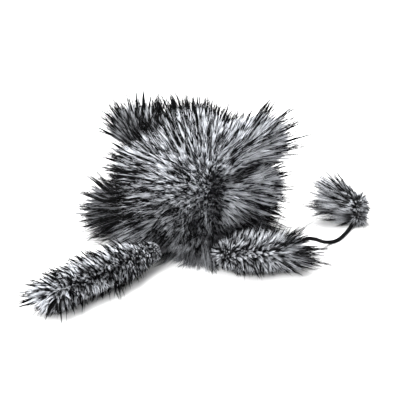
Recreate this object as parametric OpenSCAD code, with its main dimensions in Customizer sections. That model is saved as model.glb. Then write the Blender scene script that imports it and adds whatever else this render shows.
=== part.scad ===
// Furry windscreen for a microphone: a fur hood on a foam core, with a fur tail strap,
// a fur drawcord strap, and a drawcord that ends in a fur tuft.
// The origin is the middle of the mouth, on the face that the hood stands on.
// The front panel faces -Y.

/* [Hood] */
// Width of the hood's fabric box
hood_w = 80; // [76:1:86]
// Depth of the hood's fabric box
hood_d = 78; // [74:1:84]
// Height of the fabric box's top above the surface
hood_top = 88; // [84:1:96]
// Radius of the microphone bore in the foam
bore_r = 19; // [15:0.5:20]
// Depth of the microphone bore
bore_depth = 60; // [40:1:64]

/* [Fur] */
// Standing height of the pile on the front panel
front_pile = 22; // [16:1:28]
// Standing height of the pile on the side and back panels
side_pile = 24; // [16:1:28]
// Standing height of the pile on top
top_pile = 34; // [24:1:38]
// Height of the pile where it hangs down at the foot of a panel
skirt_pile = 6; // [4:0.5:7]

/* [Straps] */
// Length of the tail strap from its seam to the tip of its fur
tail_l = 150; // [110:1:170]
// Radius of the tail strap with its fur
tail_r = 16; // [12:0.5:16]
// Length of the drawcord strap from its seam to the eyelet
draw_l = 58; // [50:1:64]
// Radius of the drawcord strap with its fur
draw_r = 18; // [14:0.5:18]
// Width of the webbing inside the straps
webbing_w = 12; // [8:1:16]

/* [Cord] */
// Diameter of the drawcord
cord_d = 3; // [2.5:0.1:3]

/* [Hidden] */

$fn = 48;

fur_colour = [0.42, 0.43, 0.46];
cloth_colour = [0.12, 0.12, 0.13];
cord_colour = [0.05, 0.05, 0.05];

base_t = 4;          // thickness of the base panel
cloth_t = 2;         // thickness of a panel's knitted backing
gap = 0.3;           // room between soft neighbours
tape_t = 0.7;        // thickness of a binding tape
lining_t = 1;        // thickness of the mesh lining
skirt_h = 36;        // height of the flat-lying pile at the foot of a panel
dome_inset = 14;     // how far a pile dome's outer face is inside its panel's edge

lining_w = hood_w - 2;
lining_d = hood_d - 2;
lining_top = hood_top - 1;
lining_r = 16;       // rounding of the lining's upright and top edges
foam_w = lining_w - 2 * lining_t - 0.4;
foam_d = lining_d - 2 * lining_t - 0.4;
foam_top = lining_top - lining_t - 0.2;
foam_base = base_t + 1;

collar_r = bore_r + 1;     // inner radius of the mouth's collar
collar_wall = 6;
collar_h = 6;
channel_r = 32;            // radius of the drawcord's loop
channel_wall = 4;          // from the cord to the outside of its channel
channel_z = base_t + 0.2;
channel_h = 8;
loop_z = channel_z + channel_h / 2;
bore_z = channel_z + channel_h + 0.8;

tail_root = [0, -66, 14];
tail_turn = 254;           // direction of the tail strap, anticlockwise from +X
draw_root = [52, -57, 16];
draw_turn = 31;            // direction of the drawcord strap
tail_tip_r = 12;
tail_core_l = tail_l - 30;
cord_side = 7;             // the cord runs this far to the left of the drawcord strap's middle
cord_z = 23;
cord_room = 0.6;           // room round the cord in the foam and the webbing
core_t = 2;

ear_l = [-52, -14, 94];    // upper left ear
ear_l_r = 15;
lobe_l = [-58, -20, 23];   // lower left lobe
lobe_l_r = 22;
ear_r = [46, 38, 82];      // upper right ear
ear_r_r = 19;
bulge_r = [48, 20, 44];    // lower lobe of the right panel
bulge_r_r = 18;

eyelet_r = 4.5;
eyelet_t = 1.6;

tuft_root = [112, 83, 8];  // where the tuft's hairs are tied
tuft_mid = [99, 80, 25];
tuft_end = [84, 80, 31];
bead_r = 4;
thread_hole_r = 1.5;  // hole up to the bead that the thread runs through
bead_at = tuft_root + [-3, 1.5, 9];

// Points that the free cord follows, from the eyelet to the knot
cord_route = [[97.9, -20.8, 23], [101.5, -18.5, 23.6], [104.8, -15.4, 24], [107.4, -10.5, 24],
    [108.8, -4.5, 23], [109.2, 2, 20], [108.9, 10, 16], [108.3, 18.5, 11], [107.7, 26.5, 6.5],
    [108.1, 33.5, 3.2], [110.2, 38.5, 1.8], [112.3, 43, 1.5], [113.2, 49, 1.5], [113, 56, 1.5],
    [112.5, 64, 1.5], [111.8, 70.5, 2], [111.6, 75.5, 4], [111.8, 79, 6.5]];

// ---- helpers

// A plate with round corners, on the XY plane
module round_plate(w, h, t, r = 8) {
    hull()
        for (x = [-1, 1], y = [-1, 1])
            translate([x * (w / 2 - r), y * (h / 2 - r), 0]) cylinder(r = r, h = t, $fn = 32);
}

// The pile that stands on a panel: wide at the cloth, narrower outside
module pile_dome(w, h, t) {
    hull() {
        round_plate(w - 2, h - 2, 1);
        translate([0, 0, t - 1]) round_plate(w - 2 * dome_inset, h - 2 * dome_inset, 1);
    }
}

// A wall panel seen from outside, with its outer side towards +Z and its top towards +Y.
// The skirt runs from skirt_from to skirt_to across the panel.
module wall_panel(w, t, skirt_from, skirt_to) {
    dome_h = hood_top - skirt_h;
    translate([-w / 2, base_t, 0]) cube([w, hood_top - base_t, cloth_t]);
    translate([0, skirt_h + dome_h / 2, cloth_t - 0.5]) pile_dome(w, dome_h, t);
    translate([skirt_from, 0, cloth_t - 0.5])
        cube([skirt_to - skirt_from, skirt_h, skirt_pile + 0.5]);
}

// A block with round upright and top edges, standing at height z
module soft_block(w, d, z, top, r) {
    hull()
        for (x = [-1, 1], y = [-1, 1])
            translate([x * (w / 2 - r), y * (d / 2 - r), 0]) {
                translate([0, 0, z]) cylinder(r = r, h = 1, $fn = 32);
                translate([0, 0, top - r]) sphere(r = r, $fn = 32);
            }
}

// Everything inside the fabric box, which the panels' lobes stay out of
module hood_block(grow = 0) {
    translate([-hood_w / 2 - grow, -hood_d / 2 - grow, -1])
        cube([hood_w + 2 * grow, hood_d + 2 * grow, hood_top + 1 + grow]);
}

module right_lobes(grow = 0) {
    translate(ear_r) sphere(r = ear_r_r + grow);
    translate(bulge_r) sphere(r = bulge_r_r + grow);
}

module left_lobes(grow = 0) {
    translate(ear_l) sphere(r = ear_l_r + grow);
    translate(lobe_l) sphere(r = lobe_l_r + grow);
}

// Puts a wall panel on one side of the hood; turn 0 is the front
module on_side(turn, distance) {
    rotate([0, 0, turn]) translate([0, -distance, 0]) rotate([90, 0, 0]) children();
}

// The straight stretch of the drawcord, from the mouth's channel to the drawcord strap
module cord_lead(r, from, to) {
    lead_turn = atan2(draw_root[1], draw_root[0]);
    rotate([0, 0, lead_turn]) translate([from, 0, loop_z]) rotate([0, 90, 0])
        cylinder(r = r, h = to - from);
}

// Moves a strap that is drawn along +X from its root seam
module on_strap(root, turn) {
    translate([root[0], root[1], 0]) rotate([0, 0, turn]) children();
}

// The half space above the surface that the windscreen stands on
module above_surface() {
    translate([-100, -100, 0]) cube([400, 200, 200]);
}

// A tube swept along a list of points
function unit(v) = v / norm(v);
function along(route, i) = unit(route[min(i + 1, len(route) - 1)] - route[max(i - 1, 0)]);
function side_of(d) = unit(cross(d, [0, 0, 1]));
function ring(route, i, r, n) = let (d = along(route, i), a = side_of(d), b = cross(a, d))
    [for (k = [0 : n - 1]) route[i] + r * (cos(360 * k / n) * a + sin(360 * k / n) * b)];

module tube(route, r, n) {
    rings = len(route);
    points = [for (i = [0 : rings - 1]) each ring(route, i, r, n)];
    sides = [for (i = [0 : rings - 2], k = [0 : n - 1])
        [i * n + k, i * n + (k + 1) % n, (i + 1) * n + (k + 1) % n, (i + 1) * n + k]];
    first_cap = [for (k = [0 : n - 1]) n - 1 - k];
    last_cap = [for (k = [0 : n - 1]) (rings - 1) * n + k];
    polyhedron(points = points, faces = concat(sides, [first_cap, last_cap]), convexity = 6);
}

// ---- hood

module front_panel() {
    color(fur_colour) difference() {
        on_side(0, hood_d / 2) wall_panel(hood_w, front_pile, -hood_w / 2, 28);
        cord_lead(cord_d / 2 + cord_room, channel_r, 90);
    }
}

module back_panel() {
    color(fur_colour) difference() {
        on_side(180, hood_d / 2) wall_panel(hood_w, side_pile, -hood_w / 2, hood_w / 2);
        right_lobes(gap);
    }
}

module left_panel() {
    color(fur_colour) {
        on_side(-90, hood_w / 2) wall_panel(hood_d, side_pile, -hood_d / 2, hood_d / 2);
        difference() {
            left_lobes();
            hood_block();
            translate([0, 0, hood_top]) top_pile_shape(gap);
        }
    }
}

module right_panel() {
    color(fur_colour) {
        on_side(90, hood_w / 2) wall_panel(hood_d, side_pile, -18, hood_d / 2);
        difference() {
            right_lobes();
            hood_block();
            on_side(180, hood_d / 2) translate([-hood_w / 2, 0, -gap])
                cube([hood_w, hood_top, cloth_t + 2 * gap]);
            translate([0, 0, hood_top]) top_pile_shape(gap);
        }
    }
}

module top_pile_shape(grow = 0) {
    translate([-hood_w / 2 - grow, -hood_d / 2 - grow, 0])
        cube([hood_w + 2 * grow, hood_d + 2 * grow, cloth_t + grow]);
    pile_dome(hood_w - 6, hood_d - 6, top_pile);
}

module top_panel() {
    color(fur_colour) difference() {
        translate([0, 0, hood_top]) top_pile_shape();
        right_lobes(gap);
        left_lobes(gap);
    }
}

module base_panel() {
    color(fur_colour) difference() {
        translate([-hood_w / 2, -hood_d / 2, 0]) cube([hood_w, hood_d, base_t]);
        translate([0, 0, -1]) cylinder(r = collar_r + collar_wall, h = base_t + 2);
    }
}

module mesh_lining() {
    color(cloth_colour) difference() {
        soft_block(lining_w, lining_d, base_t, lining_top, lining_r);
        soft_block(lining_w - 2 * lining_t, lining_d - 2 * lining_t, base_t - 1,
            lining_top - lining_t, lining_r - lining_t);
        cord_lead(cord_d / 2 + cord_room, channel_r, 90);
    }
}

module foam_core() {
    channel_out = channel_r + channel_wall + gap;
    color([0.2, 0.2, 0.21]) difference() {
        soft_block(foam_w, foam_d, foam_base, foam_top, lining_r - lining_t - 0.2);
        translate([0, 0, bore_z - 1]) cylinder(r = bore_r, h = bore_depth + 1);
        translate([0, 0, foam_base - 1]) cylinder(r = channel_out, h = bore_z - foam_base + 1);
        cord_lead(cord_d / 2 + cord_room, channel_r, 90);
    }
}

// Each tape bends round one of the lining's upright corners
module seam_tapes() {
    color(cloth_colour) difference() {
        for (x = [-1, 1], y = [-1, 1])
            translate([x * (lining_w / 2 - lining_r), y * (lining_d / 2 - lining_r), 0])
                intersection() {
                    corner_tape(lining_top - lining_r);
                    translate([x > 0 ? 1 : -31, y > 0 ? 1 : -31, 0]) cube([30, 30, hood_top]);
                }
        cord_lead(cord_d / 2 + cord_room, channel_r, 90);
    }
}

module corner_tape(top) {
    translate([0, 0, base_t + 2]) difference() {
        cylinder(r = lining_r + 0.2 + tape_t, h = top - base_t - 4);
        translate([0, 0, -1]) cylinder(r = lining_r + 0.2, h = top);
    }
}

module mouth_collar() {
    ribs = 4;
    color(cord_colour) difference() {
        cylinder(r = collar_r + collar_wall, h = collar_h);
        translate([0, 0, -1]) cylinder(r = collar_r, h = collar_h + 2);
        for (i = [1 : ribs - 1])
            translate([0, 0, collar_h])
                rotate_extrude() translate([collar_r + i * collar_wall / ribs, 0]) circle(r = 0.4);
    }
}

module draw_channel() {
    color(cloth_colour) difference() {
        translate([0, 0, channel_z]) rotate_extrude()
            translate([channel_r - channel_wall, 0]) square([2 * channel_wall, channel_h]);
        translate([0, 0, loop_z]) rotate_extrude()
            translate([channel_r, 0]) circle(r = cord_d / 2 + 0.5);
        cord_lead(cord_d / 2 + 0.5, channel_r, 60);
    }
}

module mouth_cord() {
    color(cord_colour) {
        translate([0, 0, loop_z]) rotate_extrude()
            translate([channel_r, 0]) circle(r = cord_d / 2);
        cord_lead(cord_d / 2, channel_r, norm([draw_root[0], draw_root[1]]) - draw_r - 1);
    }
}

module front_anchor() {
    w = 22;
    front = hood_d / 2 + cloth_t + skirt_pile;
    color(cloth_colour)
        translate([tail_root[0] - w / 2, -front - 2, 5]) cube([w, 2, 20]);
}

module side_anchor() {
    w = 20;
    t = 1.4;
    away = norm([draw_root[0], draw_root[1]]) - draw_r - 0.4;
    color(cloth_colour) difference() {
        rotate([0, 0, atan2(draw_root[1], draw_root[0])])
            translate([away - t, -w / 2, 5]) cube([t, w, 22]);
        cord_lead(cord_d / 2 + cord_room, channel_r, 90);
    }
}

// ---- tail strap

module front_strap_fur() {
    color(fur_colour) on_strap(tail_root, tail_turn) difference() {
        intersection() {
            hull() {
                translate([0, 0, tail_root[2]]) sphere(r = tail_r);
                translate([tail_l * 0.6, 0, tail_root[2]]) sphere(r = tail_r);
                translate([tail_l - tail_tip_r, 0, tail_tip_r]) sphere(r = tail_tip_r);
            }
            above_surface();
        }
        translate([-4 - gap, -webbing_w / 2 - gap, tail_root[2] - core_t / 2 - gap])
            cube([tail_core_l + 2 * gap, webbing_w + 2 * gap, core_t + 2 * gap]);
    }
}

module front_strap_webbing() {
    color(cloth_colour) on_strap(tail_root, tail_turn)
        translate([-4, -webbing_w / 2, tail_root[2] - core_t / 2])
            cube([tail_core_l, webbing_w, core_t]);
}

// ---- drawcord strap

// The tunnel in which the cord runs to the eyelet, beside the strap's middle
module strap_tunnel(r, from, to) {
    translate([from, cord_side, cord_z]) rotate([0, 90, 0]) cylinder(r = r, h = to - from);
}

module side_strap_fur() {
    color(fur_colour) on_strap(draw_root, draw_turn) difference() {
        intersection() {
            hull() {
                translate([0, 0, draw_root[2]]) sphere(r = draw_r);
                translate([draw_l - 1, 0, draw_root[2]]) rotate([0, 90, 0])
                    cylinder(r = draw_r, h = 1);
            }
            above_surface();
        }
        translate([-6 - gap, -webbing_w / 2 - gap, draw_root[2] - core_t / 2 - gap])
            cube([draw_l - 2 + 2 * gap, webbing_w + 2 * gap, core_t + 2 * gap]);
        strap_tunnel(cord_d / 2 + 1 + gap, -2, draw_l + 1);
        strap_tunnel(eyelet_r + gap, draw_l - eyelet_t - gap, draw_l + 1);
    }
}

module side_strap_webbing() {
    color(cloth_colour) on_strap(draw_root, draw_turn) {
        translate([-6, -webbing_w / 2, draw_root[2] - core_t / 2])
            cube([draw_l - 2, webbing_w, core_t]);
    }
}

module eyelet() {
    lip = 0.8;
    color([0.1, 0.1, 0.1]) on_strap(draw_root, draw_turn)
        translate([draw_l - eyelet_t, cord_side, cord_z]) rotate([0, 90, 0])
            rotate_extrude() {
                translate([cord_d / 2 + gap, 0]) square([eyelet_r - cord_d / 2 - gap, lip]);
                translate([cord_d / 2 + gap, 0]) square([0.7, eyelet_t]);
            }
}

module strap_cord() {
    color(cord_colour) on_strap(draw_root, draw_turn) strap_tunnel(cord_d / 2, -2, draw_l - 1.4);
}

// ---- free cord and tuft

module pull_cord() {
    color(cord_colour) tube(cord_route, cord_d / 2, 8);
}

module cord_knot() {
    end = cord_route[len(cord_route) - 1];
    color(cord_colour) translate(end + [0, 1.2, 1.4]) difference() {
        sphere(r = 2.8);
        translate([-4, -4, -8.2]) cube([8, 8, 5.6]);
    }
}

module tuft_fur() {
    color(fur_colour) difference() {
        intersection() {
            hull() {
                translate(tuft_root + [4, 2, 7]) sphere(r = 11);
                translate(tuft_mid) sphere(r = 18);
                translate(tuft_end) sphere(r = 11);
            }
            translate([40, 0, 0]) cube([120, 160, 90]);
        }
        translate(bead_at) sphere(r = bead_r + gap);
        translate(tuft_root + [0, -2, 0]) sphere(r = 6.4);
        translate(tuft_root + [-3, 1.5, 0]) cylinder(r = thread_hole_r, h = bead_at[2] - tuft_root[2]);
    }
}

module tuft_bead() {
    color([0.15, 0.15, 0.15]) translate(bead_at) sphere(r = bead_r);
}

module tuft_binding() {
    end = cord_route[len(cord_route) - 1];
    color(cloth_colour) translate(end + [0, 1.2, 4.5])
        rotate_extrude() translate([3.4, 0]) circle(r = 0.9);
}

front_panel();
back_panel();
left_panel();
right_panel();
top_panel();
base_panel();
mesh_lining();
foam_core();
seam_tapes();
mouth_collar();
draw_channel();
mouth_cord();
front_anchor();
side_anchor();
front_strap_fur();
front_strap_webbing();
side_strap_fur();
side_strap_webbing();
eyelet();
strap_cord();
pull_cord();
cord_knot();
tuft_fur();
tuft_bead();
tuft_binding();
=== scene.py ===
import bpy
import math
import numpy as np
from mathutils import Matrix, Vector


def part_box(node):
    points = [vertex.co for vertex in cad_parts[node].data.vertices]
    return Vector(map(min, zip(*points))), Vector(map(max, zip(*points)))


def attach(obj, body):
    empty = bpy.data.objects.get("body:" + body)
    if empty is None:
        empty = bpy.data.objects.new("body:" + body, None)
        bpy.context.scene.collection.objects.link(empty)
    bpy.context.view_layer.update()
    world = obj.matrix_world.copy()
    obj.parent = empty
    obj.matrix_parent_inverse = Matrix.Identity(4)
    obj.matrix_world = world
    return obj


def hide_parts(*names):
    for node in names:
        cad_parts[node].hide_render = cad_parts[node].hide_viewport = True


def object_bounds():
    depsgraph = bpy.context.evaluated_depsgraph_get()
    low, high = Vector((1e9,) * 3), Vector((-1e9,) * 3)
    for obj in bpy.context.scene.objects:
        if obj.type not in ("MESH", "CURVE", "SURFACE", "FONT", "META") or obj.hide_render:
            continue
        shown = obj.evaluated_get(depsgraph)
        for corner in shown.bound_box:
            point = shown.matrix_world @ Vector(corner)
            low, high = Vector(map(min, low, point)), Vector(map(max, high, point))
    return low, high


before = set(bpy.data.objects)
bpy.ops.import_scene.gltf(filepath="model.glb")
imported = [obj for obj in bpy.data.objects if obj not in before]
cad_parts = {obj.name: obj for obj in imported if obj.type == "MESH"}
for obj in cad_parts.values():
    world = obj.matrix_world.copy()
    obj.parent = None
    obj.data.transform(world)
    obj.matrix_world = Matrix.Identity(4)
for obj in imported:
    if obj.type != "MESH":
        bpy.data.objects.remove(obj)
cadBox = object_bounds()

scene = bpy.context.scene


# camera, floor and light, with lengths in metres
camera = {"azimuth": 28, "elevation": 25, "distance": 3.0, "lookAt": (0.003, 0.0016, 0.0328),
          "widthSeen": 0.340, "sensor": 36, "farClip": 50}


def aimDirection(azimuth, elevation):
    az, el = math.radians(azimuth), math.radians(elevation)
    return Vector((math.sin(az) * math.cos(el), -math.cos(az) * math.cos(el), math.sin(el)))


towardsCamera = aimDirection(camera["azimuth"], camera["elevation"])


def addCamera():
    spot = Vector(camera["lookAt"]) + towardsCamera * camera["distance"]
    bpy.ops.object.camera_add(location=spot)
    cam = bpy.context.object
    cam.name = "viewCamera"
    cam.rotation_euler = (-towardsCamera).to_track_quat("-Z", "Y").to_euler()
    cam.data.sensor_width = camera["sensor"]
    cam.data.lens = camera["sensor"] * camera["distance"] / camera["widthSeen"]
    cam.data.clip_end = camera["farClip"]
    scene.camera = cam


def deselectAll():
    bpy.ops.object.select_all(action="DESELECT")


def newMaterial(name):
    mat = bpy.data.materials.new(name)
    mat.use_nodes = True
    return mat, mat.node_tree.nodes, mat.node_tree.links, mat.node_tree.nodes["Principled BSDF"]


studio = {"floorSize": 12, "floorColor": (0.84, 0.84, 0.84, 1), "floorRoughness": 0.9,
          "floorShine": 0.1, "worldColor": (1, 1, 1, 1), "worldStrength": 0.95,
          "lightsAimAt": (0, 0, 0.04),
          "softboxSize": 1.6, "softboxPower": 72, "softboxAt": (-0.35, 0.25, 1.5),
          "fillSize": 1.2, "fillPower": 50, "fillAt": (-0.15, -1.4, 0.9)}


def addAreaLight(name, spot, size, power):
    bpy.ops.object.light_add(type="AREA", location=spot)
    light = bpy.context.object
    light.name = name
    light.data.shape = "DISK"
    light.data.size = size
    light.data.energy = power
    away = Vector(spot) - Vector(studio["lightsAimAt"])
    light.rotation_euler = away.to_track_quat("Z", "Y").to_euler()


def addStudio():
    deselectAll()
    bpy.ops.mesh.primitive_plane_add(size=studio["floorSize"], location=(0, 0, 0))
    floor = bpy.context.object
    floor.name = "studioFloor"
    mat, nodes, links, shader = newMaterial("paleFloor")
    shader.inputs["Base Color"].default_value = studio["floorColor"]
    shader.inputs["Roughness"].default_value = studio["floorRoughness"]
    shader.inputs["Specular IOR Level"].default_value = studio["floorShine"]
    floor.data.materials.append(mat)
    world = bpy.data.worlds.new("studioWorld")
    world.use_nodes = True
    back = world.node_tree.nodes["Background"]
    back.inputs["Color"].default_value = studio["worldColor"]
    back.inputs["Strength"].default_value = studio["worldStrength"]
    scene.world = world
    addAreaLight("softbox", studio["softboxAt"], studio["softboxSize"], studio["softboxPower"])
    addAreaLight("fillLight", studio["fillAt"], studio["fillSize"], studio["fillPower"])
    scene.view_settings.view_transform = "Standard"


addCamera()
addStudio()
print("camera and light ready")

# the drawcord that lies free, from the side strap's end to the tuft; its route is in millimetres
drawcord = {"diameter": 0.0032, "sides": 16, "stepsPerSpan": 5,
            "route": [(97.9, -20.8, 23), (101.5, -18.5, 23.6), (104.8, -15.4, 24), (107.4, -10.5, 24),
                      (108.8, -4.5, 23), (109.2, 2, 20), (108.9, 10, 16), (108.3, 18.5, 11),
                      (107.7, 26.5, 6.5), (108.1, 33.5, 3.2), (110.2, 38.5, 1.9), (112.3, 43, 1.7),
                      (113.2, 49, 1.7), (113, 56, 1.7), (112.5, 64, 1.7), (111.8, 70.5, 2),
                      (111.6, 75.5, 4), (111.8, 79, 6.5)],
            "roughness": 0.55, "shine": 0.005, "darkYarn": (0.002, 0.002, 0.002, 1),
            "lightYarn": (0.010, 0.010, 0.011, 1), "braidScale": 14, "braidStretch": (1, 12, 1),
            "bumpStrength": 0.5, "bumpDepth": 0.0003}


def cordRoute():
    return [tuple(c / 1000 for c in p) for p in drawcord["route"]]


def braidMaterial():
    mat, nodes, links, shader = newMaterial("braidedCord")
    uv = nodes.new("ShaderNodeUVMap")
    uv.uv_map = "alongCord"
    wave = nodes.new("ShaderNodeTexWave")
    wave.bands_direction = "DIAGONAL"
    wave.inputs["Scale"].default_value = drawcord["braidScale"]
    mapping = nodes.new("ShaderNodeMapping")
    mapping.inputs["Scale"].default_value = drawcord["braidStretch"]
    ramp = nodes.new("ShaderNodeValToRGB")
    ramp.color_ramp.elements[0].color = drawcord["darkYarn"]
    ramp.color_ramp.elements[1].color = drawcord["lightYarn"]
    bump = nodes.new("ShaderNodeBump")
    bump.inputs["Strength"].default_value = drawcord["bumpStrength"]
    bump.inputs["Distance"].default_value = drawcord["bumpDepth"]
    links.new(uv.outputs["UV"], mapping.inputs["Vector"])
    links.new(mapping.outputs["Vector"], wave.inputs["Vector"])
    links.new(wave.outputs["Fac"], ramp.inputs["Fac"])
    links.new(ramp.outputs["Color"], shader.inputs["Base Color"])
    links.new(wave.outputs["Fac"], bump.inputs["Height"])
    links.new(bump.outputs["Normal"], shader.inputs["Normal"])
    shader.inputs["Roughness"].default_value = drawcord["roughness"]
    shader.inputs["Specular IOR Level"].default_value = drawcord["shine"]
    return mat


def routeLength(points):
    return sum((Vector(b) - Vector(a)).length for a, b in zip(points, points[1:]))


def smoothRoute(points, perSpan):
    # a smooth line through every point of the route
    pts = [Vector(p) for p in points]
    ends = [pts[0] * 2 - pts[1]] + pts + [pts[-1] * 2 - pts[-2]]
    line = []
    for i in range(1, len(ends) - 2):
        a, b, c, d = ends[i - 1:i + 3]
        for k in range(perSpan):
            t = k / perSpan
            line.append(0.5 * (2 * b + (c - a) * t + (2 * a - 5 * b + 4 * c - d) * t * t
                               + (3 * b - a - 3 * c + d) * t ** 3))
    line.append(pts[-1])
    return line


def sweptTube(name, line, radius, sides):
    # a closed round tube along a line, with a map that runs round and along it
    verts, faces = [], []
    up = Vector((0, 0, 1))
    for i, p in enumerate(line):
        along = (line[min(i + 1, len(line) - 1)] - line[max(i - 1, 0)]).normalized()
        a = along.cross(up).normalized()
        b = a.cross(along)
        for k in range(sides):
            turn = 2 * math.pi * k / sides
            verts.append(p + radius * (math.cos(turn) * a + math.sin(turn) * b))
    rings = len(line)
    for i in range(rings - 1):
        for k in range(sides):
            n = (k + 1) % sides
            faces.append((i * sides + k, i * sides + n, (i + 1) * sides + n, (i + 1) * sides + k))
    faces.append(tuple(reversed(range(sides))))
    faces.append(tuple((rings - 1) * sides + k for k in range(sides)))
    mesh = bpy.data.meshes.new(name)
    mesh.from_pydata(verts, [], faces)
    mesh.update()
    piece = bpy.data.objects.new(name, mesh)
    scene.collection.objects.link(piece)
    layer = mesh.uv_layers.new(name="alongCord")
    for poly in mesh.polygons:
        for loop in poly.loop_indices:
            v = mesh.loops[loop].vertex_index
            k, i = v % sides, v // sides
            u = k / sides
            if k == 0 and any(mesh.loops[q].vertex_index % sides == sides - 1
                              for q in poly.loop_indices):
                u = 1.0
            layer.data[loop].uv = (u, i / (rings - 1))
        poly.use_smooth = len(poly.vertices) == 4
    return piece


cordLine = smoothRoute(cordRoute(), drawcord["stepsPerSpan"])
pullCord = sweptTube("pullCord", cordLine, drawcord["diameter"] / 2, drawcord["sides"])
pullCord.data.materials.append(braidMaterial())
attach(pullCord, "cord")
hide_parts("pull_cord")
print("cord ready, length %.1f mm" % (1000 * routeLength(cordLine)))

# fur: every hair is a closed three-sided solid that tapers to its tip
strandShape = {"thickestAt": 0.35,  # share of the hair's length
               "thickSpread": (0.75, 1.2), "lockSpread": (0.85, 1.12),
               "sideSpots": [0.15, 0.5, 0.85],  # the three sides' places across a column of the map
               "columns": 64}  # shades across the fur's own map


def unit(v):
    tiny = 1e-9
    return v / np.maximum(np.linalg.norm(v, axis=-1, keepdims=True), tiny)


def strandMesh(name, line, radius, shade, material):
    # line holds the middle of each strand as (strand, ring, xyz), and the last ring is its tip
    count, rings = line.shape[:2]
    along = np.empty_like(line)
    along[:, 1:-1] = line[:, 2:] - line[:, :-2]
    along[:, 0] = line[:, 1] - line[:, 0]
    along[:, -1] = line[:, -1] - line[:, -2]
    along = unit(along)
    seedTurn = np.random.default_rng(count).uniform(0, 2 * np.pi, count)
    ref = np.stack([np.cos(seedTurn), np.sin(seedTurn), 0.3 * np.cos(3 * seedTurn)], 1)[:, None, :]
    a = unit(np.cross(along, np.broadcast_to(ref, along.shape)))
    b = np.cross(along, a)
    turns = np.arange(3) * 2 * np.pi / 3
    body = rings - 1
    ringPts = (line[:, :body, None, :]
               + radius[:, :body, None, None]
               * (np.cos(turns)[None, None, :, None] * a[:, :body, None, :]
                  + np.sin(turns)[None, None, :, None] * b[:, :body, None, :]))
    verts = np.concatenate([ringPts.reshape(count, body * 3, 3), line[:, -1:, :]], 1)
    perStrand = body * 3 + 1
    sideU = strandShape["sideSpots"]
    # the root's end cap, then the rings of four-cornered sides, then the tip's three faces
    loops, starts = [0, 2, 1], [0]
    us, vs = [sideU[0], sideU[2], sideU[1]], [0.0] * 3
    for i in range(body - 1):
        for k in range(3):
            n = (k + 1) % 3
            starts.append(len(loops))
            loops += [i * 3 + k, i * 3 + n, (i + 1) * 3 + n, (i + 1) * 3 + k]
            us += [sideU[k], sideU[n], sideU[n], sideU[k]]
            vs += [i / body, i / body, (i + 1) / body, (i + 1) / body]
    for k in range(3):
        n = (k + 1) % 3
        starts.append(len(loops))
        loops += [(body - 1) * 3 + k, (body - 1) * 3 + n, body * 3]
        us += [sideU[k], sideU[n], sideU[1]]
        vs += [(body - 1) / body, (body - 1) / body, 1.0]
    loops, starts = np.array(loops), np.array(starts)
    allLoops = (loops[None, :] + perStrand * np.arange(count)[:, None]).ravel()
    allStarts = (starts[None, :] + len(loops) * np.arange(count)[:, None]).ravel()
    columns = strandShape["columns"]
    column = np.clip((shade * columns).astype(int), 0, columns - 1)
    u = (column[:, None] + np.array(us)[None, :]) / columns
    v = np.broadcast_to(np.array(vs)[None, :], u.shape)
    mesh = bpy.data.meshes.new(name)
    mesh.vertices.add(count * perStrand)
    mesh.vertices.foreach_set("co", verts.reshape(-1).astype(np.float32))
    mesh.loops.add(len(allLoops))
    mesh.loops.foreach_set("vertex_index", allLoops.astype(np.int32))
    mesh.polygons.add(len(allStarts))
    mesh.polygons.foreach_set("loop_start", allStarts.astype(np.int32))
    mesh.polygons.foreach_set("use_smooth", np.ones(len(allStarts), dtype=bool))
    mesh.update(calc_edges=True)
    layer = mesh.uv_layers.new(name="OFBake")
    layer.data.foreach_set("uv", np.stack([u.ravel(), v.ravel()], 1).ravel().astype(np.float32))
    mesh.materials.append(material)
    mesh.validate()
    piece = bpy.data.objects.new(name, mesh)
    scene.collection.objects.link(piece)
    return piece


# the pile is a little blue; each stop is a share of the hair's length and a grey
furLook = {"tint": (0.97, 1.0, 1.06), "tipRoughness": 0.5, "rootRoughness": 0.8,
           "underfurShine": 0.08, "guardShine": 0.01,
           "underfur": {"dark": [(0, 0.003), (0.35, 0.012), (0.65, 0.07), (1, 0.22)],
                        "light": [(0, 0.03), (0.32, 0.27), (0.60, 0.82), (1, 0.88)]},
           "guard": {"dark": [(0, 0.02), (0.2, 0.02), (0.4, 0.003), (1, 0.002)],
                     "light": [(0, 0.10), (0.3, 0.08), (0.45, 0.006), (1, 0.004)]}}


def furMaterial(name, stops, shine):
    # colour runs from root to tip, and from a strand's dark shade to its light one
    mat, nodes, links, shader = newMaterial(name)
    uv = nodes.new("ShaderNodeUVMap")
    uv.uv_map = "OFBake"
    split = nodes.new("ShaderNodeSeparateXYZ")
    links.new(uv.outputs["UV"], split.inputs["Vector"])
    ramps = []
    for side in ("dark", "light"):
        ramp = nodes.new("ShaderNodeValToRGB")
        ramp.name = side + "Strand"
        ramp.color_ramp.interpolation = "EASE"
        spots = stops[side]
        while len(ramp.color_ramp.elements) < len(spots):
            ramp.color_ramp.elements.new(0.5)
        for element, (place, grey) in zip(ramp.color_ramp.elements, spots):
            element.position = place
            element.color = (*(grey * share for share in furLook["tint"]), 1)
        links.new(split.outputs["Y"], ramp.inputs["Fac"])
        ramps.append(ramp)
    mix = nodes.new("ShaderNodeMix")
    mix.data_type = "RGBA"
    firstColor, secondColor, mixedColor = mix.inputs[6], mix.inputs[7], mix.outputs[2]
    links.new(split.outputs["X"], mix.inputs["Factor"])
    links.new(ramps[0].outputs["Color"], firstColor)
    links.new(ramps[1].outputs["Color"], secondColor)
    links.new(mixedColor, shader.inputs["Base Color"])
    rough = nodes.new("ShaderNodeMapRange")
    rough.inputs["To Min"].default_value = furLook["rootRoughness"]
    rough.inputs["To Max"].default_value = furLook["tipRoughness"]
    links.new(split.outputs["Y"], rough.inputs["Value"])
    links.new(rough.outputs["Result"], shader.inputs["Roughness"])
    shader.inputs["Specular IOR Level"].default_value = shine
    return mat


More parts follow.
